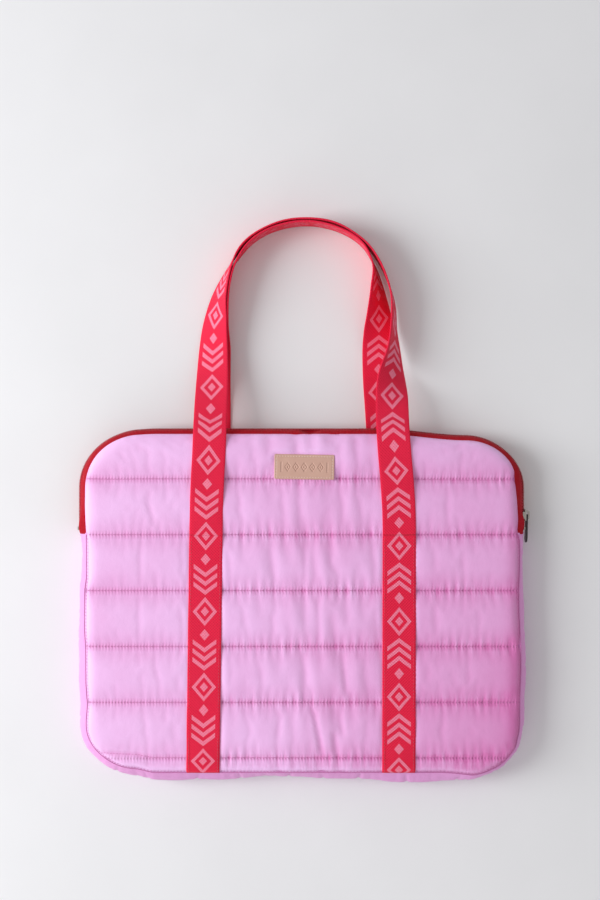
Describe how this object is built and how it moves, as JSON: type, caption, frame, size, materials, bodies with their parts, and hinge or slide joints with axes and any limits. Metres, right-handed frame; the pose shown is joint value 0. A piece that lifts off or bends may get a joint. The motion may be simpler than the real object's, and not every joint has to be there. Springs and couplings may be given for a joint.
{
  "type": "laptop sleeve",
  "caption": "Padded, quilted laptop sleeve with a three-sided zip round its top, a side gusset below it and a webbing carrying handle on each face.",
  "frame": {"origin": "the middle of the back face, on the surface that the sleeve lies on", "axes": "+Z out of the front face, +Y up the sleeve towards the handles, +X to the right seen from the front"},
  "size_m": [0.4121, 0.5093, 0.0337],
  "materials": {
    "pink_nylon": "soft quilted nylon with a slight sheen, pink lilac",
    "lining_fabric": "plain woven taffeta lining",
    "wadding": "white polyester wadding",
    "foam": "thin closed-cell foam sheet",
    "binding_tape": "woven seam binding",
    "webbing": "red woven jacquard webbing with a light pink pattern",
    "zip_tape": "red woven zip tape",
    "zip_coil": "red nylon coil",
    "nickel": "nickel-plated zinc",
    "gunmetal": "dark plated zinc",
    "label_leather": "tan embossed leatherette"
  },
  "bodies": {
    "bag": {"back_shell": "pink_nylon", "back_wadding": "wadding", "back_foam_sheet": "foam", "back_lining": "lining_fabric", "back_seam_binding": "binding_tape", "lower_front_shell": "pink_nylon", "lower_front_wadding": "wadding", "lower_front_foam_sheet": "foam", "lower_front_lining": "lining_fabric", "lower_front_seam_binding": "binding_tape", "gusset_shell": "pink_nylon", "gusset_lining": "lining_fabric", "rear_zip_tape": "zip_tape", "rear_zip_coil": "zip_coil", "zip_end_stops": "nickel", "front_strap_left": "webbing", "front_strap_right": "webbing", "rear_strap_left": "webbing", "rear_strap_right": "webbing"},
    "front_flap": {"upper_front_shell": "pink_nylon", "upper_front_wadding": "wadding", "upper_front_foam_sheet": "foam", "upper_front_lining": "lining_fabric", "upper_front_seam_binding": "binding_tape", "front_zip_tape": "zip_tape", "front_zip_coil": "zip_coil", "label_patch": "label_leather"},
    "front_handle": {"front_handle_webbing": "webbing"},
    "rear_handle": {"rear_handle_webbing": "webbing"},
    "zip_slider": {"slider_body": "nickel", "slider_bridge": "nickel"},
    "zip_pull": {"pull_tab": "gunmetal"}
  },
  "joints": [
    {"name": "flap_open", "type": "hinge", "parent": "bag", "child": "front_flap", "pos_m": [0, 0.064, 0.031], "axis": [1, 0, 0], "range_deg": [0, 75], "deforming": ["front_zip_coil", "rear_zip_coil"]},
    {"name": "rear_handle_swing", "type": "hinge", "parent": "bag", "child": "rear_handle", "pos_m": [0, 0.1635, 0.0018], "axis": [1, 0, 0], "range_deg": [0, 90]},
    {"name": "front_handle_swing", "type": "hinge", "parent": "front_flap", "child": "front_handle", "pos_m": [0, 0.064, 0.0331], "axis": [1, 0, 0], "range_deg": [0, 90]},
    {"name": "zip_slide", "type": "slide", "parent": "bag", "child": "zip_slider", "axis": [0, 1, 0], "range_m": [-0.004, 0.019], "deforming": ["front_zip_coil", "rear_zip_coil"]},
    {"name": "pull_swing", "type": "hinge", "parent": "zip_slider", "child": "zip_pull", "pos_m": [0.2057, 0.081, 0.0155], "axis": [0, 0, 1], "range_deg": [0, 170]}
  ],
  "couplings": [
    {"joint": "front_handle_swing", "follows": "rear_handle_swing", "ratio": 1}
  ]
}
